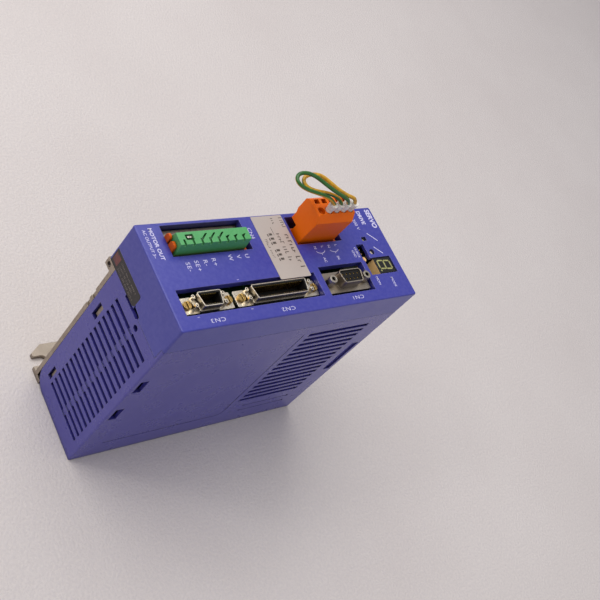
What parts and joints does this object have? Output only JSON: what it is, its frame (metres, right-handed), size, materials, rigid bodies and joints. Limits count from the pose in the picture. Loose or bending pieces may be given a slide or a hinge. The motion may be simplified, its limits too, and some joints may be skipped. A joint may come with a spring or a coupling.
{
  "type": "servo drive",
  "caption": "Book-type servo drive with metal mounting flange, vented plastic housing, pull-out terminal plugs, jumper wires, signal sockets, display and recessed push button.",
  "frame": {"origin": "centre of the mounting face: midway in width and height of the whole drive, at the rear plane that lies against the cabinet wall", "axes": "+Z from the mounting face towards the front with the connectors; +Y upwards as installed, from the end with the open slot; +X to the right seen from the front, away from the mounting flange"},
  "size_m": [0.07, 0.16, 0.1737],
  "materials": {
    "chassis_metal": "satin, warm grey",
    "blue_plastic": "fine moulded texture",
    "label_paper": "matte printed label",
    "label_dark": "matte printed label",
    "steel": "zinc plated",
    "nickel": "dull nickel",
    "contact_gold": "plated",
    "screw_brass": "turned",
    "black_plastic": "moulded",
    "orange_plastic": "moulded",
    "green_plastic": "moulded",
    "white_plastic": "moulded",
    "board": "solder resist",
    "tan_plastic": "moulded",
    "lens": "unlit lens",
    "wire_insulation": "green and yellow",
    "capacitor_sleeve": "shrink sleeve",
    "ferrite": "sintered",
    "winding": "yellow tape",
    "copper_wire": "enamelled",
    "thermal_pad": "soft",
    "fuse_glass": "clear"
  },
  "bodies": {
    "drive": {"back_plate": "chassis_metal", "side_wall": "chassis_metal", "earth_lug": "chassis_metal", "main_housing": "blue_plastic", "front_bezel": "blue_plastic", "caution_label": "label_dark", "nameplate_label": "label_paper", "side_wall_screws": "steel", "thermal_pad": "thermal_pad", "power_module": "black_plastic", "module_leads": "steel", "module_screws": "steel", "rectifier_bridge": "black_plastic", "power_board": "board", "control_board": "board", "wall_spacers": "steel", "board_posts": "steel", "board_screws": "steel", "bus_capacitors": "capacitor_sleeve", "transformer_core": "ferrite", "transformer_winding": "winding", "inrush_relay": "black_plastic", "line_choke": "copper_wire", "line_fuse": "fuse_glass", "control_chips": "black_plastic", "board_link": "black_plastic", "motor_header": "orange_plastic", "motor_header_pins": "steel", "power_header": "orange_plastic", "power_header_pins": "steel", "serial_shell": "nickel", "serial_insulator": "black_plastic", "serial_contacts": "contact_gold", "serial_jackscrews": "steel", "front_board": "board", "front_board_screws": "steel", "display_body": "tan_plastic", "display_face": "black_plastic", "display_segments": "lens", "status_lamp": "lens", "monitor_header": "black_plastic", "monitor_pins": "contact_gold", "trim_potentiometer": "tan_plastic", "button_switch": "black_plastic", "port_50_shell": "nickel", "port_50_insert": "black_plastic", "port_50_contacts": "contact_gold", "port_screws": "screw_brass", "port_14_shell": "nickel", "port_14_insert": "black_plastic", "port_14_contacts": "contact_gold"},
    "motor_plug": {"motor_plug_body": "green_plastic", "motor_plug_clamps": "steel"},
    "power_plug": {"power_plug_body": "orange_plastic", "power_plug_clamps": "steel", "ferrule_collars": "white_plastic", "ferrule_barrels": "steel", "jumper_wire_a": "wire_insulation", "jumper_wire_b": "wire_insulation"},
    "push_button": {"button_cap": "tan_plastic"}
  },
  "joints": [
    {"name": "motor_plug_pull", "type": "slide", "parent": "drive", "child": "motor_plug", "axis": [0, 0, 1], "range_m": [0, 0.02]},
    {"name": "power_plug_pull", "type": "slide", "parent": "drive", "child": "power_plug", "axis": [0, 0, 1], "range_m": [0, 0.024]},
    {"name": "push_button_press", "type": "slide", "parent": "drive", "child": "push_button", "axis": [0, 0, -1], "range_m": [0, 0.0005], "stiffness_N_per_m": 1000}
  ]
}
